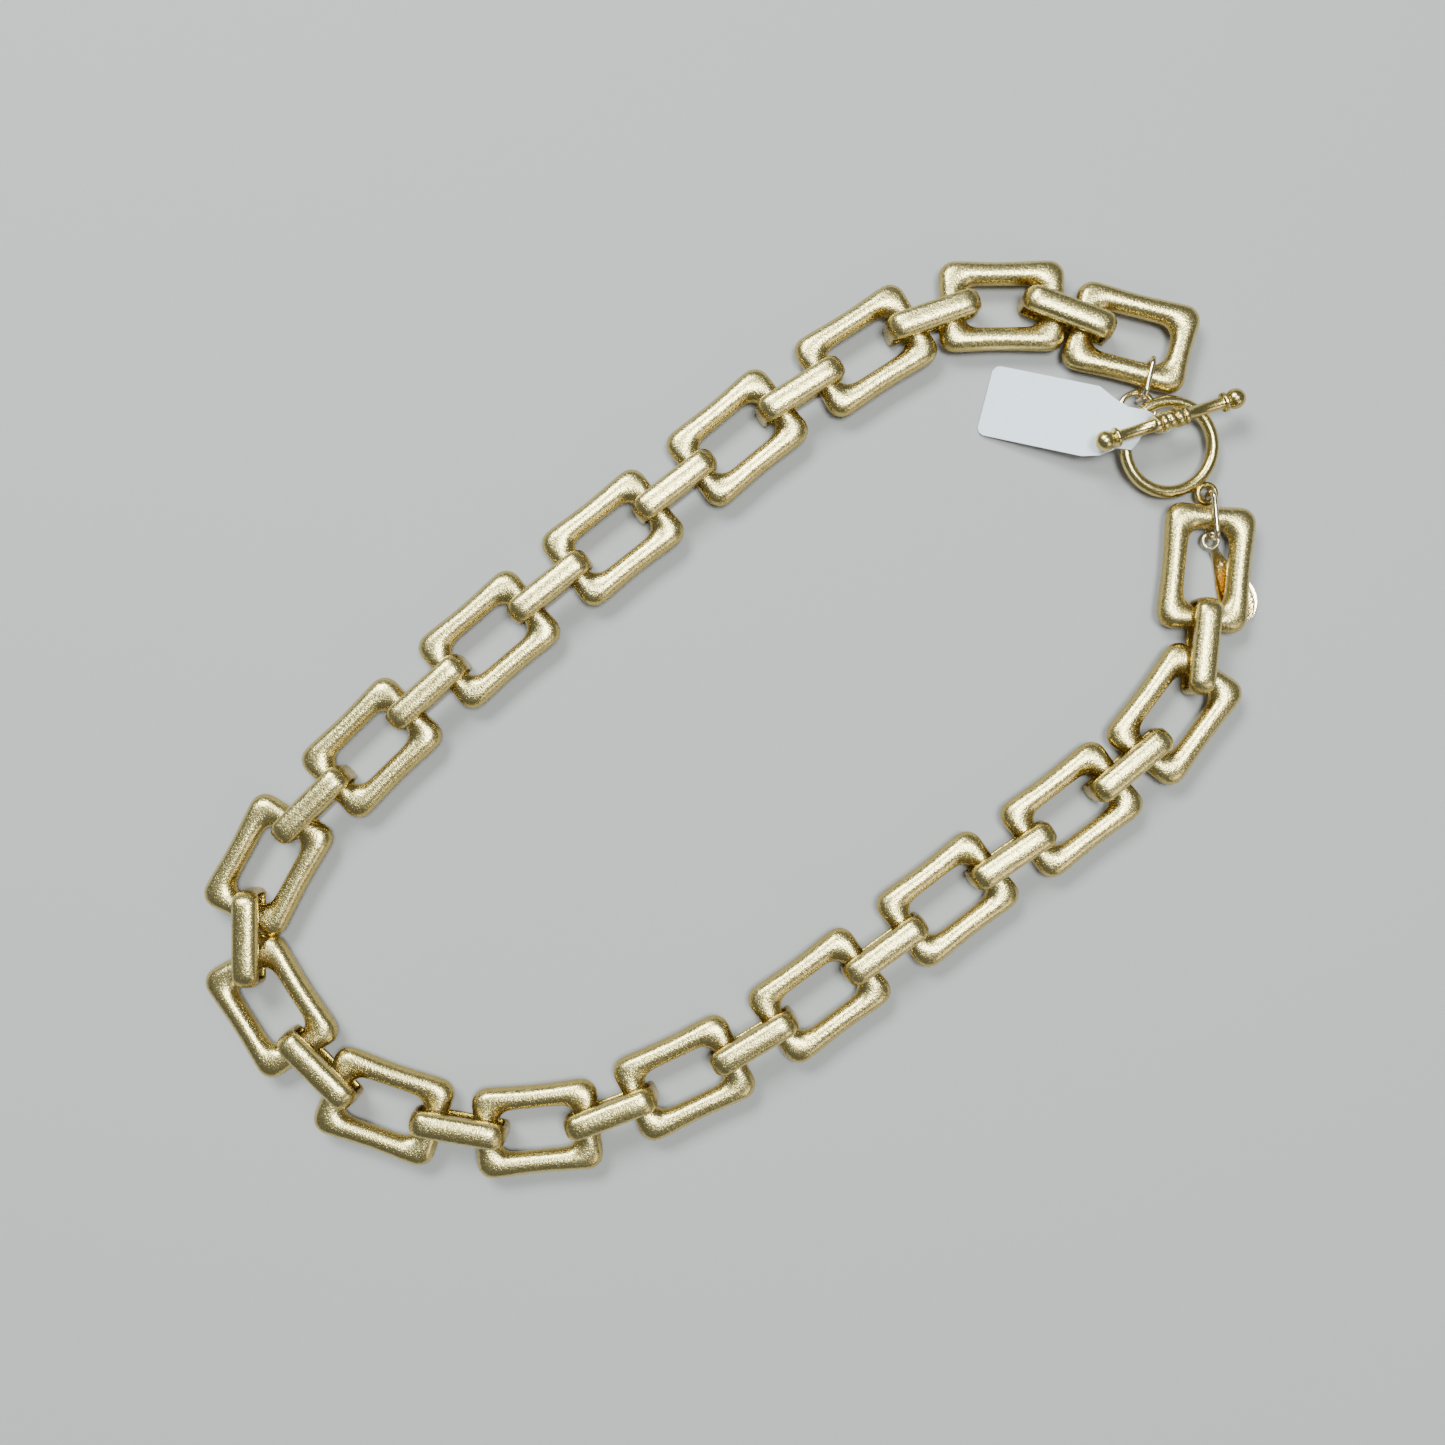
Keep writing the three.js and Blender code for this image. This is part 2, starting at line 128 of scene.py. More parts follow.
class GoldColours(bpy.types.PropertyGroup):
    # Crown and flank paint light into the gold: the pale crown colour is painted top light, the
    # deeper flank colour painted shade low on the sides.
    crown: colour("Crown", "Pale gold on the high surfaces, painted top light", (0.70, 0.565, 0.225))
    shaded_flank: colour("Flank", "Deeper gold low on the sides", (0.47, 0.33, 0.07))
    bare: colour("Bare", "Rubbed specks where the plating has thinned", (0.80, 0.735, 0.50))
    # Dark is tarnish in the pits, and painted shade on the grains low on the sides.
    dark: colour("Dark", "Tarnish in the pits, and painted shade low on the sides", (0.17, 0.11, 0.03))
    wire: colour("Wire", "Polished jump rings", (0.88, 0.74, 0.46))
    leaf: colour("Leaf", "Rich gold inside the charm's bowl", (0.83, 0.56, 0.16))
    card: colour("Card", "Coated white card of the tag", (0.86, 0.90, 0.95))


class StageSettings(bpy.types.PropertyGroup):
    view_height: length("Camera height", "Camera above the table", 0.2535)
    view_x: FloatProperty(
        name="Camera X", description="Camera from the toggle ring", default=-0.0716, unit="LENGTH"
    )
    view_y: FloatProperty(
        name="Camera Y", description="Camera from the toggle ring", default=-0.0442, unit="LENGTH"
    )
    view_angle: degrees("View angle", "Camera's field of view", 49.6)
    floor: colour("Floor", "Plain pale table top", (0.42, 0.41, 0.39))


# ---------------------------------------------------------------- placing


def sizes(name):
    return getattr(bpy.context.scene, "necklace_" + name)


def node_corners(node):
    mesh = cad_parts[node].data
    flat = np.empty(len(mesh.vertices) * 3)
    mesh.vertices.foreach_get("co", flat)
    return np.unique(flat.reshape(-1, 3).round(7), axis=0)


def spread_along(node, heading):
    """Lowest and highest reach of a CAD node along a plan direction, in metres."""
    reach = node_corners(node)[:, :2] @ np.array([math.cos(heading), math.sin(heading)])
    return reach.min(), reach.max()


def lie_of(node):
    """From a piece's own frame, its long side on X, to where its CAD node lies."""
    plan = node_corners(node)[:, :2]
    plan = plan - plan.mean(0)
    long_side = np.linalg.eigh(plan.T @ plan)[1][:, 1]
    heading = math.atan2(long_side[1], long_side[0])
    along = sum(spread_along(node, heading)) / 2
    across = sum(spread_along(node, heading + math.pi / 2)) / 2
    return turned(heading) @ Matrix.Translation((along, across, 0))


def turned(angle, axis="Z"):
    return Matrix.Rotation(angle, 4, axis)


def placed(x, y, z, heading=0.0, tilt=0.0):
    """A turn about Y by tilt, then about Z by heading, then a move. Millimetres, degrees."""
    move = Matrix.Translation((x * MM, y * MM, z * MM))
    return move @ turned(math.radians(heading)) @ turned(math.radians(-tilt), "Y")


class Clasp:
    """Where the clasp's pieces lie, from the toggle ring's centre. Millimetres, degrees."""

    eye_heading = -49.5
    ring_middle = 2.85
    bar_place = (-0.8, 3.65, 6.45)
    bar_heading = 18.6
    shank_heading = 165
    hang_high, hang_from, hang_to, hang_foot, hang_wire = 3.1, -0.65, 3.5, 0.15, 0.85
    first_link, first_heading = (-6.2, 17.5), 166
    last_link, last_heading = (6.0, -19.4), 445
    side_bar, end_bar = 5.3, 8.2  # a link's bars, from its middle to their centre lines
    gap = 0.3
    inner_reach, ring_high = 3.0, 5.75  # of the two oval jump rings
    hook_out = 2.75  # the small jump ring's wire, from the side bar's centre

    @staticmethod
    def centre():
        eye = math.radians(Clasp.eye_heading)
        clasp = sizes("clasp")
        low = spread_along("toggle_ring", eye)[0] + clasp.ring / 2 * math.cos(clasp.ring_tilt)
        side = sum(spread_along("toggle_ring", eye + math.pi / 2)) / 2
        return turned(eye) @ Vector((low, side, 0))

    @staticmethod
    def at(x, y, z, heading=0.0, tilt=0.0):
        return Matrix.Translation(Clasp.centre()) @ placed(x, y, z, heading, tilt)

    @staticmethod
    def step(start, distance, heading, aside=0.0):
        c, s = math.cos(math.radians(heading)), math.sin(math.radians(heading))
        return (start[0] + distance * c - aside * s, start[1] + distance * s + aside * c)


# ---------------------------------------------------------------- shaping with bmesh


def rounded_wire(bm, half_x, half_y, radii, steps=4):
    """A closed wire round a rectangle in the XY plane, each corner rounded by its own radius."""
    corners = bmesh.ops.create_circle(bm, segments=4, radius=1.0)["verts"]
    for corner, (x, y) in zip(corners, CORNERS):
        corner.co = (x * half_x, y * half_y, 0)
    made = set(corners)
    for corner, radius in zip(corners, radii):
        made.discard(corner)
        bevelled = bmesh.ops.bevel(
            bm,
            geom=[corner],
            offset=radius,
            offset_type="OFFSET",
            segments=steps,
            profile=0.5,
            affect="VERTICES",
            material=-1,
        )
        made.update(bevelled["verts"])
    return list(made)


def wire_edges(verts):
    chosen = set(verts)
    return list({e for v in verts for e in v.link_edges if set(e.verts) <= chosen})


def skin_loops(bm, loops, apart):
    """Bridges closed wires in order, and the last to the first, into one tube.

    The wires stand apart while they are bridged, so that nested ones don't twist."""
    for rank, loop in enumerate(loops):
        bmesh.ops.translate(bm, verts=loop, vec=apart * rank)
    edges = [wire_edges(loop) for loop in loops]
    for here, after in zip(edges, edges[1:] + edges[:1]):
        bmesh.ops.bridge_loops(bm, edges=here + after)
    for rank, loop in enumerate(loops):
        bmesh.ops.translate(bm, verts=loop, vec=-apart * rank)


def split_long_edges(bm, over, cuts):
    """Adds crosswise cuts to the long edges, so that the straight bars can be shaped."""
    long_edges = [e for e in bm.edges if e.calc_length() > over]
    bmesh.ops.subdivide_edges(bm, edges=long_edges, cuts=cuts, use_grid_fill=True)


def wire_circle(bm, wire, segments=16):
    """A round wire section standing in the XZ plane at the origin."""
    made = bmesh.ops.create_circle(bm, segments=segments, radius=wire / 2)
    bmesh.ops.rotate(bm, verts=made["verts"], matrix=turned(math.pi / 2, "X").to_3x3())
    return made["verts"] + wire_edges(made["verts"])


def only(geometry, kind):
    return [g for g in geometry if isinstance(g, kind)]


def spin_on(bm, geometry, centre, axis, angle, steps):
    spun = bmesh.ops.spin(
        bm, geom=geometry, cent=centre, axis=axis, angle=angle, steps=steps, use_duplicate=False
    )
    return spun["geom_last"]


def extrude_on(bm, geometry, move):
    edges = only(geometry, bmesh.types.BMEdge)
    out = bmesh.ops.extrude_edge_only(bm, edges=edges)["geom"]
    verts = only(out, bmesh.types.BMVert)
    bmesh.ops.translate(bm, verts=verts, vec=move)
    return verts + wire_edges(verts)


def wire_ring(bm, outer, wire, around=72, section=16):
    """A round ring of round wire about Z."""
    before = set(bm.verts)
    start = wire_circle(bm, wire, section)
    bmesh.ops.translate(
        bm, verts=only(start, bmesh.types.BMVert), vec=((outer - wire) / 2, 0, 0)
    )
    bmesh.ops.spin(
        bm,
        geom=start,
        cent=(0, 0, 0),
        axis=(0, 0, 1),
        angle=2 * math.pi,
        steps=around,
        use_merge=True,
    )
    return [v for v in bm.verts if v not in before]


def oval_ring(bm, start, end, high, wire, corner, section=14):
    """An oval of round wire in the XZ plane, standing on z = 0 from x = start to x = end."""
    before = set(bm.verts)
    corner = min(corner, high / 2 - wire / 2, (end - start) / 2 - wire / 2)
    half_x = (end - start) / 2 - wire / 2 - corner
    half_z = high / 2 - wire / 2 - corner
    ring = wire_circle(bm, wire, section)
    verts = only(ring, bmesh.types.BMVert)
    bmesh.ops.rotate(bm, verts=verts, matrix=turned(math.pi / 2).to_3x3())
    bmesh.ops.rotate(bm, verts=verts, matrix=turned(math.pi / 2, "Y").to_3x3())
    bmesh.ops.rotate(bm, verts=verts, matrix=turned(math.pi / 2, "Y").to_3x3())
    bmesh.ops.translate(bm, verts=verts, vec=(-half_x, 0, half_z + corner))
    moves = ((1, 0, half_x), (0, -1, half_z), (-1, 0, half_x), (0, 1, half_z))
    centre = Vector((-half_x, 0, half_z))
    for x, z, half in moves:
        move = Vector((x, 0, z)) * 2 * half
        ring = extrude_on(bm, ring, move)
        centre += move
        ring = spin_on(bm, ring, centre, (0, 1, 0), math.pi / 2, 8)
    made = [v for v in bm.verts if v not in before]
    bmesh.ops.translate(bm, verts=made, vec=((start + end) / 2, 0, high / 2))
    return made


def lathe(bm, profile, steps=48):
    """Turns a wire of (radius, along) points about the X axis."""
    before = set(bm.verts)
    verts = [bm.verts.new((along, 0, radius)) for radius, along in profile]
    edges = [bm.edges.new(pair) for pair in zip(verts, verts[1:])]
    bmesh.ops.spin(
        bm,
        geom=verts + edges,
        cent=(0, 0, 0),
        axis=(1, 0, 0),
        angle=2 * math.pi,
        steps=steps,
        use_merge=True,
    )
    return [v for v in bm.verts if v not in before]


def arc(radius, along, start, stop, steps=10):
    """Profile points round a ball at along, from start to stop degrees off the bar's end."""
    turns = [math.radians(start + (stop - start) * i / steps) for i in range(steps + 1)]
    return [(abs(radius * math.sin(t)), along + radius * math.cos(t)) for t in turns]


def move_all(bm, verts, matrix):
    bmesh.ops.transform(bm, matrix=matrix, verts=verts)


def smooth_step(value, low, high):
    t = min(max((value - low) / (high - low), 0.0), 1.0)
    return t * t * (3 - 2 * t)


def finished(bm, name, node, material, place, levels=0, crease=40):
    """One closed piece at its place, standing for its CAD node and riding on its body."""
    bmesh.ops.remove_doubles(bm, verts=bm.verts, dist=1e-6)
    bmesh.ops.recalc_face_normals(bm, faces=bm.faces)
    bmesh.ops.transform(bm, matrix=place, verts=bm.verts)
    for face in bm.faces:
        face.smooth = True
    for edge in bm.edges:
        edge.smooth = edge.calc_face_angle(0) < math.radians(crease)
    mesh = bpy.data.meshes.new(name)
    bm.to_mesh(mesh)
    bm.free()
    piece = bpy.data.objects.new(name, mesh)
    bpy.context.scene.collection.objects.link(piece)
    piece.data.materials.append(material)
    if levels:
        rounding = piece.modifiers.new("Rounding", "SUBSURF")
        rounding.levels = levels
        rounding.render_levels = levels
    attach(piece, node)
    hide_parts(node)
    return piece


# ---------------------------------------------------------------- finishes


def plating_wear_and_painted_light():
    """Group: how rubbed and pitted a worn plating is over a surface, and where light and shade are
    painted on it: top light on the high parts, shade low on the sides.
    """
    if "Plating wear and painted light" in bpy.data.node_groups:
        return bpy.data.node_groups["Plating wear and painted light"]
    tree = bpy.data.node_groups.new("Plating wear and painted light", "ShaderNodeTree")
    face = tree.interface
    for name, default in (
        ("Low", 0.001),
        ("High", 0.0045),
        ("Grain", 2600.0),
        ("Smoothness", 0.3),
        ("Spread", 0.2),
    ):
        face.new_socket(name, in_out="INPUT", socket_type="NodeSocketFloat").default_value = default
    for name in ("Crown", "Specks", "Pits and shade", "Roughness", "Height"):
        face.new_socket(name, in_out="OUTPUT", socket_type="NodeSocketFloat")
    link = tree.links.new
    given = tree.nodes.new("NodeGroupInput")
    out = tree.nodes.new("NodeGroupOutput")
    where = tree.nodes.new("ShaderNodeTexCoord")
    split = tree.nodes.new("ShaderNodeSeparateXYZ")
    link(where.outputs["Object"], split.inputs[0])

    def noise(scale, detail, rough):
        node = tree.nodes.new("ShaderNodeTexNoise")
        node.inputs["Scale"].default_value = scale
        node.inputs["Detail"].default_value = detail
        node.inputs["Roughness"].default_value = rough
        link(where.outputs["Object"], node.inputs["Vector"])
        return node

    def sums(operation, a, b, c=None):
        node = tree.nodes.new("ShaderNodeMath")
        node.operation = operation
        for socket, value in zip(node.inputs, (a, b, c)):
            if value is None:
                continue
            if isinstance(value, (int, float)):
                socket.default_value = value
            else:
                link(value, socket)
        return node.outputs[0]

    def mapped(value, low, high):
        node = tree.nodes.new("ShaderNodeMapRange")
        node.interpolation_type = "SMOOTHSTEP"
        link(value, node.inputs["Value"])
        for key, amount in (("From Min", low), ("From Max", high)):
            if isinstance(amount, (int, float)):
                node.inputs[key].default_value = amount
            else:
                link(amount, node.inputs[key])
        return node.outputs["Result"]

    # Crown: how high a point lies, a little uneven; it places the painted top light. Specks: rubbed
    # grains on the crown.
    # Dark mask: pits, and grains darkened low on the sides as painted shade. Relief: a soft wave,
    # the grain, the pits.
    blotch = noise(420, 3, 0.55)
    grain = noise(2600, 2, 0.6)
    link(given.outputs["Grain"], grain.inputs["Scale"])
    pits = noise(5200, 2, 0.5)
    wander = sums("MULTIPLY_ADD", blotch.outputs["Fac"], 0.0008, -0.0004)
    height_here = sums("ADD", split.outputs["Z"], wander)
    crown = mapped(height_here, given.outputs["Low"], given.outputs["High"])
    rubbed = mapped(sums("MULTIPLY", grain.outputs["Fac"], crown), 0.56, 0.74)
    pores = mapped(pits.outputs["Fac"], 0.62, 0.74)
    # Grains low on the sides, darkened as painted shade.
    shade_grain = mapped(grain.outputs["Fac"], 0.56, 0.70)
    pits_and_shade = sums("MAXIMUM", pores, sums("MULTIPLY", shade_grain, sums("SUBTRACT", 1.0, crown)))
    spread, smooth = given.outputs["Spread"], given.outputs["Smoothness"]
    rough = sums("MULTIPLY_ADD", grain.outputs["Fac"], spread, smooth)
    rough = sums("MULTIPLY_ADD", pits_and_shade, 0.15, rough)
    relief = sums("MULTIPLY_ADD", blotch.outputs["Fac"], 0.6, grain.outputs["Fac"])
    relief = sums("SUBTRACT", relief, sums("MULTIPLY", pores, 0.5))
    for name, value in (
        ("Crown", crown),
        ("Specks", rubbed),
        ("Pits and shade", pits_and_shade),
        ("Roughness", rough),
        ("Height", relief),
    ):
        link(value, out.inputs[name])
    return tree


def blend_colour(tree, amount, first, second):
    mix = tree.nodes.new("ShaderNodeMix")
    mix.data_type = "RGBA"
    tree.links.new(amount, mix.inputs["Factor"])
    for socket, value in ((mix.inputs["A"], first), (mix.inputs["B"], second)):
        if isinstance(value, bpy.types.NodeSocket):
            tree.links.new(value, socket)
        else:
            socket.default_value = (*value, 1)
    return mix.outputs["Result"]


def blank_material(name):
    material = bpy.data.materials.new(name)
    material.use_nodes = True
    return material, material.node_tree, material.node_tree.nodes["Principled BSDF"]


def worn_gold_and_painted_light(name, low, high, smooth, spread, bump, crown, shaded_flank, grain=3000.0, dark=0.8):
    """Worn gold plating, speckled and finely pitted, painted pale on the crowns as top light and
    deeper low down as shade.
    """
    material, tree, shader = blank_material(name)
    gold = sizes("colours")
    wear = tree.nodes.new("ShaderNodeGroup")
    wear.node_tree = plating_wear_and_painted_light()
    for key, value in (
        ("Low", low),
        ("High", high),
        ("Grain", grain),
        ("Smoothness", smooth),
        ("Spread", spread),
    ):
        wear.inputs[key].default_value = value
    # Painted light: the crown colour on the high parts as painted top light, the flank colour low
    # down as painted shade.
    base = blend_colour(tree, wear.outputs["Crown"], shaded_flank, crown)
    base = blend_colour(tree, wear.outputs["Specks"], base, gold.bare)
    # The dark colour fills tarnished pits and, as painted shade, the grains low on the sides.
    part = tree.nodes.new("ShaderNodeMath")
    part.operation = "MULTIPLY"
    part.inputs[1].default_value = dark
    tree.links.new(wear.outputs["Pits and shade"], part.inputs[0])
    base = blend_colour(tree, part.outputs[0], base, gold.dark)
    tree.links.new(base, shader.inputs["Base Color"])
    tree.links.new(wear.outputs["Roughness"], shader.inputs["Roughness"])
    shader.inputs["Metallic"].default_value = 1.0
    relief = tree.nodes.new("ShaderNodeBump")
    relief.inputs["Strength"].default_value = bump
    relief.inputs["Distance"].default_value = 0.0002
    tree.links.new(wear.outputs["Height"], relief.inputs["Height"])
    tree.links.new(relief.outputs["Normal"], shader.inputs["Normal"])
    return material


def coated_card(name):
    """Smooth coated card with a faint fibre and a soft cool tone."""
    material, tree, shader = blank_material(name)
    card = sizes("colours").card
    where = tree.nodes.new("ShaderNodeTexCoord")
    fibre = tree.nodes.new("ShaderNodeTexNoise")
    fibre.inputs["Scale"].default_value = 1400
    fibre.inputs["Detail"].default_value = 4
    tree.links.new(where.outputs["Object"], fibre.inputs["Vector"])
    shade = tuple(c * 0.9 for c in card)
    base = blend_colour(tree, fibre.outputs["Fac"], shade, card)
    tree.links.new(base, shader.inputs["Base Color"])
    shader.inputs["Roughness"].default_value = 0.48
    shader.inputs["Specular IOR Level"].default_value = 0.5
    relief = tree.nodes.new("ShaderNodeBump")
    relief.inputs["Strength"].default_value = 0.12
    relief.inputs["Distance"].default_value = 0.00005
    tree.links.new(fibre.outputs["Fac"], relief.inputs["Height"])
    tree.links.new(relief.outputs["Normal"], shader.inputs["Normal"])
    return material


# ---------------------------------------------------------------- the pieces


class NECKLACE_OT_links(bpy.types.Operator):
    """Open rectangular links with domed, drawn-in bars"""

    bl_idname = "necklace.links"
    bl_label = "Rectangular links"

    # Section of a bar from its outer side over the crown to the window: across, up.
    section = (
        (1.04, -0.1), (0.98, 0.42), (0.72, 0.86), (0.28, 1.06), (-0.28, 1.06), (-0.72, 0.86),
        (-0.98, 0.42), (-1.04, -0.1), (-0.86, -0.6), (-0.45, -0.9), (0.45, -0.9), (0.86, -0.6),
    )

    def shape(self):
        link = sizes("links")
        bm = bmesh.new()
        loops = []
        for across, up in self.section:
            share = (1 - across) / 2
            inset = share * (link.bar + link.waist)
            radius = link.outer_corner + share * (link.inner_corner - link.outer_corner)
            loop = rounded_wire(
                bm, link.length / 2 - inset, link.width / 2 - inset, [radius] * 4
            )
            lift = link.back + (up + 0.9) / 1.9 * link.height
            bmesh.ops.translate(bm, verts=loop, vec=(0, 0, lift))
            loops.append(loop)
        skin_loops(bm, loops, Vector((0, 0, 0.05)))
        split_long_edges(bm, 0.0025, 4)
        half_x, half_y = link.length / 2, link.width / 2
        for v in bm.verts:
            mid_x = 1 - smooth_step(abs(v.co.x), 0, half_x * 0.9)
            mid_y = 1 - smooth_step(abs(v.co.y), 0, half_y * 0.9)
            out_y = smooth_step(abs(v.co.y), half_y - link.bar, half_y)
            out_x = smooth_step(abs(v.co.x), half_x - link.bar, half_x)
            v.co.y -= math.copysign(link.waist * mid_x * out_y, v.co.y)
            v.co.x -= math.copysign(link.waist * mid_y * out_x, v.co.x)
        return bm

    def execute(self, context):
        gold = sizes("colours")
        link = sizes("links")
        finish = worn_gold_and_painted_light(
            "worn_gold_link", link.back + 0.0016, link.back + link.height, 0.18, 0.17, 0.30,
            gold.crown, gold.shaded_flank,
        )
        shape = self.shape()
        for node in sorted(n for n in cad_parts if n.startswith("link_")):
            finished(
                shape.copy(), node + "_cast", node, finish, lie_of(node),
                levels=2, crease=180,
            )
        shape.free()
        return {"FINISHED"}


class NECKLACE_OT_connectors(bpy.types.Operator):
    """Connectors: a flat strap underneath, end posts and a domed bar on top"""

    bl_idname = "necklace.connectors"
    bl_label = "Connectors"

    # Section of the band from one edge over the outside to the other: across, outward share.
    section = (
        (1.0, 0.42), (0.95, 0.74), (0.72, 0.96), (0.28, 1.06), (-0.28, 1.06), (-0.72, 0.96),
        (-0.95, 0.74), (-1.0, 0.42), (-0.93, 0.06), (-0.5, -0.02), (0.5, -0.02), (0.93, 0.06),
    )

    def shape(self):
        size = sizes("connectors")
        bm = bmesh.new()
        loops = []
        top = size.strap + size.slot_height
        for across, out in self.section:
            half_x = size.slot / 2 + size.strap * out + 0.00015 * out
            low = size.strap * (1 - min(out, 1.0))
            high = top + size.top_height * out * 0.97
            out = max(out, 0.0)
            low_round = 0.0005 + 0.0006 * out
            high_round = 0.0005 + 0.0019 * out
            loop = rounded_wire(
                bm, half_x, (high - low) / 2, [high_round, high_round, low_round, low_round]
            )
            bmesh.ops.rotate(bm, verts=loop, matrix=turned(math.pi / 2, "X").to_3x3())
            bmesh.ops.translate(
                bm, verts=loop, vec=(0, across * size.strap_width / 2, (high + low) / 2)
            )
            loops.append(loop)
        skin_loops(bm, loops, Vector((0, 0.05, 0)))
        split_long_edges(bm, 0.003, 4)
        half = size.slot / 2 + size.strap
        for v in bm.verts:
            # The posts stay as narrow as the strap up to the bar, so that links can swing.
            rise = smooth_step(v.co.z, top * 0.87, top + 0.0007)
            wide = 1 + rise * (size.top_width / size.strap_width - 1)
            taper = 1 - 0.30 * rise * smooth_step(abs(v.co.x), half * 0.80, half * 1.02)
            v.co.y *= wide * taper
        return bm

    def execute(self, context):
        gold = sizes("colours")
        size = sizes("connectors")
        top = size.strap + size.slot_height
        finish = worn_gold_and_painted_light(
            "worn_gold_connector", top + 0.0006, top + size.top_height * 0.95, 0.18, 0.17, 0.30,
            gold.crown, gold.shaded_flank,
        )
        shape = self.shape()
        for node in sorted(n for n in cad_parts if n.startswith("connector_")):
            finished(
                shape.copy(), node + "_cast", node, finish,
                lie_of(node), levels=2, crease=180,
            )
        shape.free()
        return {"FINISHED"}


class NECKLACE_OT_toggle_ring(bpy.types.Operator):
    """Toggle ring of round wire with a cast eye on its side"""

    bl_idname = "necklace.toggle_ring"
    bl_label = "Toggle ring"

    def execute(self, context):
        gold, clasp = sizes("colours"), sizes("clasp")
        finish = worn_gold_and_painted_light(
            "worn_gold_clasp", 0.0008, 0.0042, 0.16, 0.14, 0.15, gold.crown, gold.shaded_flank, 3600.0, 0.5
        )
        bm = bmesh.new()
        wire_ring(bm, clasp.ring, clasp.ring_wire, 96, 20)
        eye = wire_ring(bm, clasp.eye, clasp.eye_wire, 40, 14)
        out = clasp.ring / 2 + clasp.eye / 2 - 0.35 * MM
        bmesh.ops.translate(bm, verts=eye, vec=(out, 0, 0))
        place = Clasp.at(
            0, 0, Clasp.ring_middle, Clasp.eye_heading, math.degrees(clasp.ring_tilt)
        )
        finished(bm, "toggle_ring_cast", "toggle_ring", finish, place)
        return {"FINISHED"}


class NECKLACE_OT_toggle_bar(bpy.types.Operator):
    """Turned toggle bar with ball ends, collars and a hanging eye"""

    bl_idname = "necklace.toggle_bar"
    bl_label = "Toggle bar"

    def profile(self):
        clasp = sizes("clasp")
        ball, rod = clasp.ball / 2 / MM, clasp.rod / 2 / MM
        middle = clasp.bar / 2 / MM - ball
        neck = middle - math.sqrt(ball**2 - 0.9**2)
        points = arc(ball, middle, 0, 143, 16)
        points += [(0.92, neck - 0.06), (1.0, neck - 0.12), (1.42, neck - 0.18)]
        points += [(1.6, neck - 0.34), (1.62, neck - 0.55), (1.52, neck - 0.8)]
        points += [(1.05, neck - 0.95), (rod, neck - 1.1), (rod * 0.94, neck / 2 + 1.5)]
        points += [(rod, 3.05), (1.2, 2.86), (1.5, 2.72), (1.58, 2.4), (1.5, 2.1)]
        points += [(1.15, 1.96), (1.15, 1.86), (1.55, 1.7), (1.66, 1.3), (1.55, 0.92)]
        points += [(1.2, 0.78), (1.2, 0.68), (1.36, 0.52), (1.44, 0.25), (1.44, 0)]
        mirror = [(radius, -along) for radius, along in reversed(points[:-1])]
        return [(radius * MM, along * MM) for radius, along in points + mirror]

    def execute(self, context):
        gold, clasp = sizes("colours"), sizes("clasp")
        finish = worn_gold_and_painted_light(
            "worn_gold_toggle", 0.0045, 0.0078, 0.15, 0.14, 0.18, gold.crown, gold.shaded_flank,
            3600.0, 0.5,
        )
        bm = bmesh.new()
        lathe(bm, self.profile())
        foot = Clasp.hang_foot - Clasp.bar_place[2]
        low = foot + Clasp.hang_high - 0.7  # inside the loop's top wire
        high = -0.8  # inside the rod
        radius = 0.5 * MM
        shank = bmesh.ops.create_cone(
            bm, cap_ends=True, segments=20, radius1=radius, radius2=radius, depth=(high - low) * MM
        )["verts"]
        bmesh.ops.translate(bm, verts=shank, vec=(0, 0, (low + high) / 2 * MM))
        hang = oval_ring(
            bm, Clasp.hang_from * MM, Clasp.hang_to * MM, Clasp.hang_high * MM,
            Clasp.hang_wire * MM, 1.7 * MM,
        )
        turn = turned(math.radians(Clasp.shank_heading - Clasp.bar_heading))
        move_all(bm, hang, turn @ Matrix.Translation((0, 0, foot * MM)))
        place = Clasp.at(*Clasp.bar_place, Clasp.bar_heading, math.degrees(clasp.bar_tilt))
        finished(bm, "toggle_bar_turned", "toggle_bar", finish, place, crease=50)
        return {"FINISHED"}


class NECKLACE_OT_jump_rings(bpy.types.Operator):
    """The three jump rings of polished wire"""

    bl_idname = "necklace.jump_rings"
    bl_label = "Jump rings"

    def execute(self, context):
        gold, clasp = sizes("colours"), sizes("clasp")
        finish = worn_gold_and_painted_light(
            "bright_gold_wire", 0.0004, 0.0035, 0.09, 0.1, 0.05, gold.wire, gold.wire, 4200.0, 0.35
        )
        wire = clasp.jump_wire / MM
        reach = Clasp.inner_reach
        hook = Clasp.step(Clasp.first_link, -4, Clasp.first_heading, Clasp.side_bar)
        across = Clasp.first_heading + 90

        bm = bmesh.new()
        end = Clasp.hook_out + Clasp.gap - 0.1 + 1.5 * wire
        oval_ring(bm, -reach * MM, end * MM, Clasp.ring_high * MM, wire * MM, 1.3 * MM)
        place = Clasp.at(*hook, 0, across)
        finished(bm, "large_jump_ring_wire", "large_jump_ring", finish, place)

        bm = bmesh.new()
        wire_ring(bm, clasp.small_jump, clasp.jump_wire)
        radius = (clasp.small_jump / MM - wire) / 2
        middle = Clasp.step(hook, Clasp.hook_out + radius, across)
        place = Clasp.at(*middle, 2.0, -50, -6)
        finished(bm, "small_jump_ring_wire", "small_jump_ring", finish, place)

        bm = bmesh.new()
        start = -(reach + Clasp.gap + sizes("charm").eye_wire / MM)
        end = sizes("links").bar / MM / 2 + 2 * (Clasp.gap + wire)
        oval_ring(bm, start * MM, end * MM, Clasp.ring_high * MM, wire * MM, 1 * MM)
        end_bar = Clasp.step(Clasp.last_link, Clasp.end_bar, Clasp.last_heading)
        place = Clasp.at(*end_bar, 0, Clasp.last_heading + 10)
        finished(bm, "clasp_jump_ring_wire", "clasp_jump_ring", finish, place)
        return {"FINISHED"}


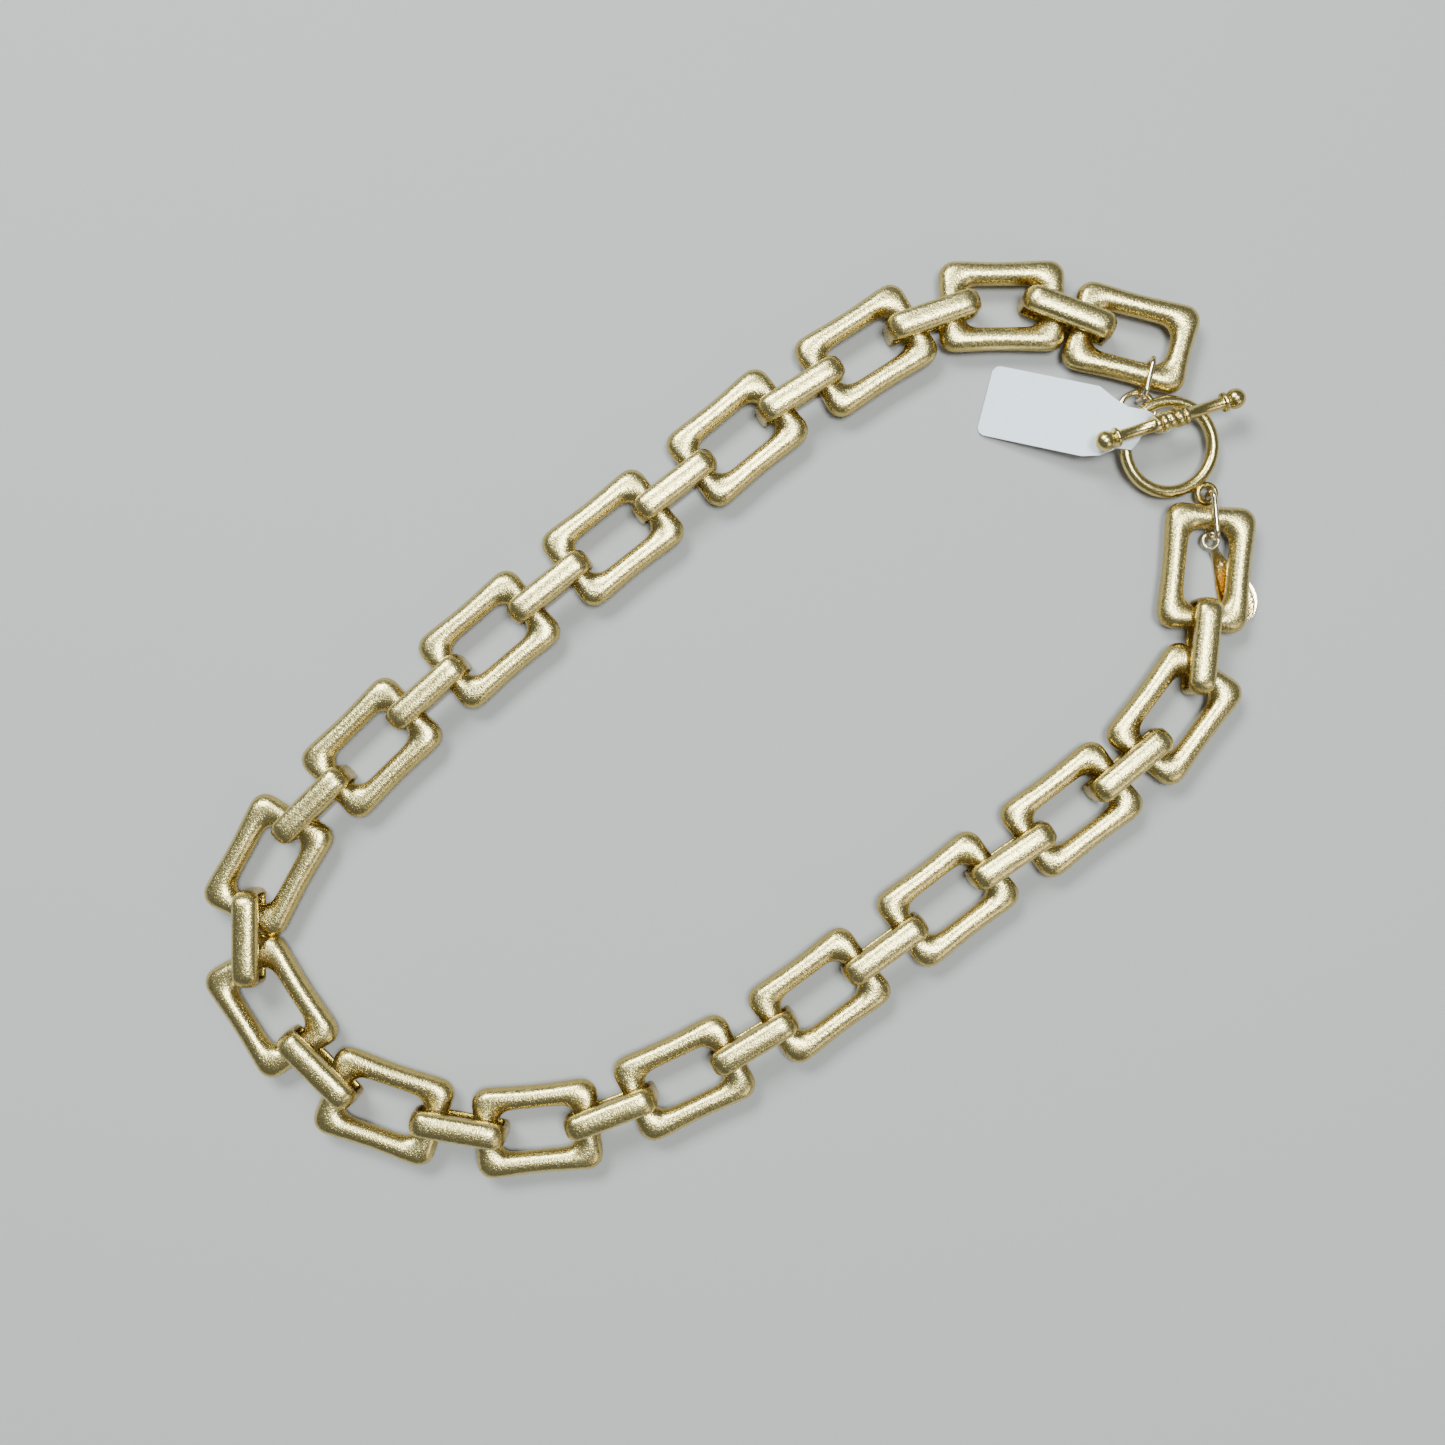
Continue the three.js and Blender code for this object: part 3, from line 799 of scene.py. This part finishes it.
class NECKLACE_OT_leaf_charm(bpy.types.Operator):
    """Cupped leaf charm with a raised rim, ribs on its lower half and a wire eye"""

    bl_idname = "necklace.leaf_charm"
    bl_label = "Leaf charm"

    def execute(self, context):
        gold, charm = sizes("colours"), sizes("charm")
        finish = worn_gold_and_painted_light(
            "worn_gold_charm", 0.0001, 0.0009, 0.12, 0.12, 0.2, gold.bare, gold.leaf, 3000.0, 0.7
        )
        lowest, top_rise, rise_end = 0.0001, 0.0007, 0.0026

        def underside(t):
            """Height of the leaf's back, which climbs to its eye."""
            return lowest + top_rise * max(0.0, 1 - t * charm.length / rise_end)

        bm = bmesh.new()
        made = bmesh.ops.create_grid(bm, x_segments=64, y_segments=24, size=0.5)["verts"]
        for v in made:
            t, side = v.co.x + 0.5, v.co.y * 2
            drop = math.sin(math.pi * (0.03 + 0.955 * t) ** 1.8) ** 0.7
            wide = charm.width * drop + charm.neck * (1 - t) ** 6
            bowl = 0.0003 * (1 - side * side) * math.sin(math.pi * t)
            rib = smooth_step(t, 0.5, 0.62) * (1 - smooth_step(abs(side), 0.6, 0.75))
            ribs = 0.00007 * rib * math.sin(t * 95 + abs(side) * 5)
            step_in = 0.00012 * (1 - smooth_step(abs(side), 0.72, 0.82))
            high = underside(t) + charm.thick - bowl + ribs - step_in
            v.co = (t * charm.length, side * wide / 2, high)
        under = bmesh.ops.extrude_face_region(bm, geom=list(bm.faces))["geom"]
        for v in only(under, bmesh.types.BMVert):
            v.co.z = underside(v.co.x / charm.length)
            v.co.y *= 0.93
        loop = wire_ring(bm, 0.0031, charm.eye_wire, 40, 12)
        bmesh.ops.translate(bm, verts=loop, vec=(-0.0013, 0, 0.00165))
        start = -(Clasp.inner_reach + Clasp.gap + charm.eye_wire / MM)
        reach = start + sizes("clasp").jump_wire / MM / 2
        end_bar = Clasp.step(Clasp.last_link, Clasp.end_bar, Clasp.last_heading)
        hook = Clasp.step(end_bar, reach, Clasp.last_heading + 10)
        top = Clasp.step(hook, 1.5, -63, -0.1)
        place = Clasp.at(*top, 0, -63)
        finished(bm, "leaf_charm_stamped", "leaf_charm", finish, place, crease=60)
        return {"FINISHED"}


class NECKLACE_OT_paper_tag(bpy.types.Operator):
    """Blank card tag whose narrow neck holds the toggle bar's shank"""

    bl_idname = "necklace.paper_tag"
    bl_label = "Paper tag"

    # Outline, millimetres: along from the shank, low edge, high edge, underside.
    outline = (
        (0.3, -0.9, 0.9, 3.6), (-1.9, -0.9, 0.9, 3.8), (-2.9, -1.9, 0.9, 4.75),
        (-3.6, -4.2, 0.9, 5.1), (-4.4, -5.8, 0.8, 5.3), (-6.6, -6.1, 0.7, 5.25),
        (-8.8, -7.7, 1.6, 4.55), (-11.5, -8.4, 3.1, 3.8), (-17, -8.4, 3.1, 2.65),
        (-22, -8.4, 3.1, 1.6), (-27.3, -8.4, 3.1, 0.48), (-27.9, -8.1, 2.8, 0.38),
        (-28.3, -7.4, 2.1, 0.3),
    )

    def execute(self, context):
        tag = sizes("tag")
        finish = coated_card("white_card")
        rows = len(self.outline)
        bm = bmesh.new()
        made = bmesh.ops.create_grid(bm, x_segments=rows - 1, y_segments=12, size=0.5)["verts"]
        for v in made:
            along, low, high, under = self.outline[round((0.5 - v.co.x) * (rows - 1))]
            side = v.co.y + 0.5
            v.co = (along * MM, (low + (high - low) * side) * MM, under * MM)
        sheet = bmesh.ops.extrude_face_region(bm, geom=list(bm.faces))["geom"]
        verts = only(sheet, bmesh.types.BMVert)
        bmesh.ops.translate(bm, verts=verts, vec=(0, 0, tag.thick))
        clasp = sizes("clasp")
        pin_depth = 2.6  # from the bar's axis down the shank to the collar
        shift = -pin_depth * math.sin(-clasp.bar_tilt)
        pin = Clasp.step(Clasp.bar_place[:2], shift, Clasp.bar_heading)
        hole, collar_low, collar_tall, growth = 0.95, 3.45, 0.6, 1.58
        collar = bmesh.ops.create_circle(bm, segments=40, radius=hole * MM)["verts"]
        bmesh.ops.translate(bm, verts=collar, vec=(0, 0, collar_low * MM))
        ring = wire_edges(collar)
        wide = bmesh.ops.extrude_edge_only(bm, edges=ring)["geom"]
        outer = only(wide, bmesh.types.BMVert)
        bmesh.ops.scale(bm, verts=outer, vec=(growth, growth, 1))
        tall = bmesh.ops.extrude_edge_only(bm, edges=wire_edges(outer))["geom"]
        upper = only(tall, bmesh.types.BMVert)
        bmesh.ops.translate(bm, verts=upper, vec=(0, 0, collar_tall * MM))
        back = bmesh.ops.extrude_edge_only(bm, edges=wire_edges(upper))["geom"]
        inner = only(back, bmesh.types.BMVert)
        bmesh.ops.scale(bm, verts=inner, vec=(1 / growth, 1 / growth, 1))
        bmesh.ops.bridge_loops(bm, edges=wire_edges(inner) + ring)
        place = Clasp.at(*pin, 0, -14.5)
        finished(bm, "paper_tag_card", "paper_tag", finish, place, crease=30)
        return {"FINISHED"}


class NECKLACE_OT_stage(bpy.types.Operator):
    """Pale table top, soft studio light and the camera overhead"""

    bl_idname = "necklace.stage"
    bl_label = "Stage, light and camera"

    def lamp(self, name, place, aim, size, power, tint):
        light = bpy.data.lights.new(name, "AREA")
        light.shape = "RECTANGLE"
        light.size, light.size_y = size
        light.energy = power
        light.color = tint
        lamp = bpy.data.objects.new(name, light)
        bpy.context.scene.collection.objects.link(lamp)
        lamp.location = place
        lamp.rotation_euler = (Vector(aim) - Vector(place)).to_track_quat("-Z", "Y").to_euler()

    def execute(self, context):
        stage = sizes("stage")
        bm = bmesh.new()
        bmesh.ops.create_grid(bm, x_segments=1, y_segments=1, size=1.5)
        mesh = bpy.data.meshes.new("table_top")
        bm.to_mesh(mesh)
        bm.free()
        floor = bpy.data.objects.new("table_top", mesh)
        bpy.context.scene.collection.objects.link(floor)
        material, _, shader = blank_material("plain_table")
        shader.inputs["Base Color"].default_value = (*stage.floor, 1)
        shader.inputs["Roughness"].default_value = 0.9
        mesh.materials.append(material)

        world = bpy.data.worlds.new("soft_studio")
        world.use_nodes = True
        sky = world.node_tree.nodes["Background"]
        sky.inputs["Color"].default_value = (0.88, 0.95, 1.0, 1)
        sky.inputs["Strength"].default_value = 0.16
        bpy.context.scene.world = world
        self.lamp("window", (-0.35, 0.55, 0.75), (0, 0, 0), (0.45, 0.3), 13, (0.86, 0.96, 1.0))
        self.lamp("overhead", (0.12, 0.05, 0.9), (0, 0, 0), (0.26, 0.26), 9, (0.88, 0.97, 1.0))
        self.lamp("fill", (0.6, -0.6, 0.5), (0, 0, 0), (0.4, 0.4), 1.5, (1.0, 0.94, 0.85))

        lens = bpy.data.cameras.new("overhead_camera")
        lens.sensor_fit = "HORIZONTAL"
        lens.angle = stage.view_angle
        lens.clip_start = 0.01
        camera = bpy.data.objects.new("overhead_camera", lens)
        bpy.context.scene.collection.objects.link(camera)
        camera.location = Clasp.centre() + Vector((stage.view_x, stage.view_y, stage.view_height))
        bpy.context.scene.camera = camera
        return {"FINISHED"}


# ---------------------------------------------------------------- panel and registering


class NECKLACE_PT_panel(bpy.types.Panel):
    bl_idname = "NECKLACE_PT_panel"
    bl_label = "Toggle chain necklace"
    bl_space_type = "VIEW_3D"
    bl_region_type = "UI"
    bl_category = "Necklace"

    def draw(self, context):
        for title, group in GROUPS.items():
            box = self.layout.box()
            box.label(text=title.title())
            for name in group.__annotations__:
                box.prop(getattr(context.scene, "necklace_" + title), name)
        for step in STEPS:
            self.layout.operator(step.bl_idname)


GROUPS = {
    "links": LinkSizes,
    "connectors": ConnectorSizes,
    "clasp": ClaspSizes,
    "charm": CharmSizes,
    "tag": TagSizes,
    "colours": GoldColours,
    "stage": StageSettings,
}
STEPS = (
    NECKLACE_OT_links,
    NECKLACE_OT_connectors,
    NECKLACE_OT_toggle_ring,
    NECKLACE_OT_toggle_bar,
    NECKLACE_OT_jump_rings,
    NECKLACE_OT_leaf_charm,
    NECKLACE_OT_paper_tag,
    NECKLACE_OT_stage,
)


def register():
    for cls in (*GROUPS.values(), *STEPS, NECKLACE_PT_panel):
        bpy.utils.register_class(cls)
    for name, group in GROUPS.items():
        setattr(bpy.types.Scene, "necklace_" + name, PointerProperty(type=group))


def unregister():
    for name in GROUPS:
        delattr(bpy.types.Scene, "necklace_" + name)
    for cls in (NECKLACE_PT_panel, *STEPS, *GROUPS.values()):
        bpy.utils.unregister_class(cls)


def main():
    register()
    for step in STEPS:
        family, name = step.bl_idname.split(".")
        getattr(getattr(bpy.ops, family), name)()


if __name__ == "__main__":
    main()
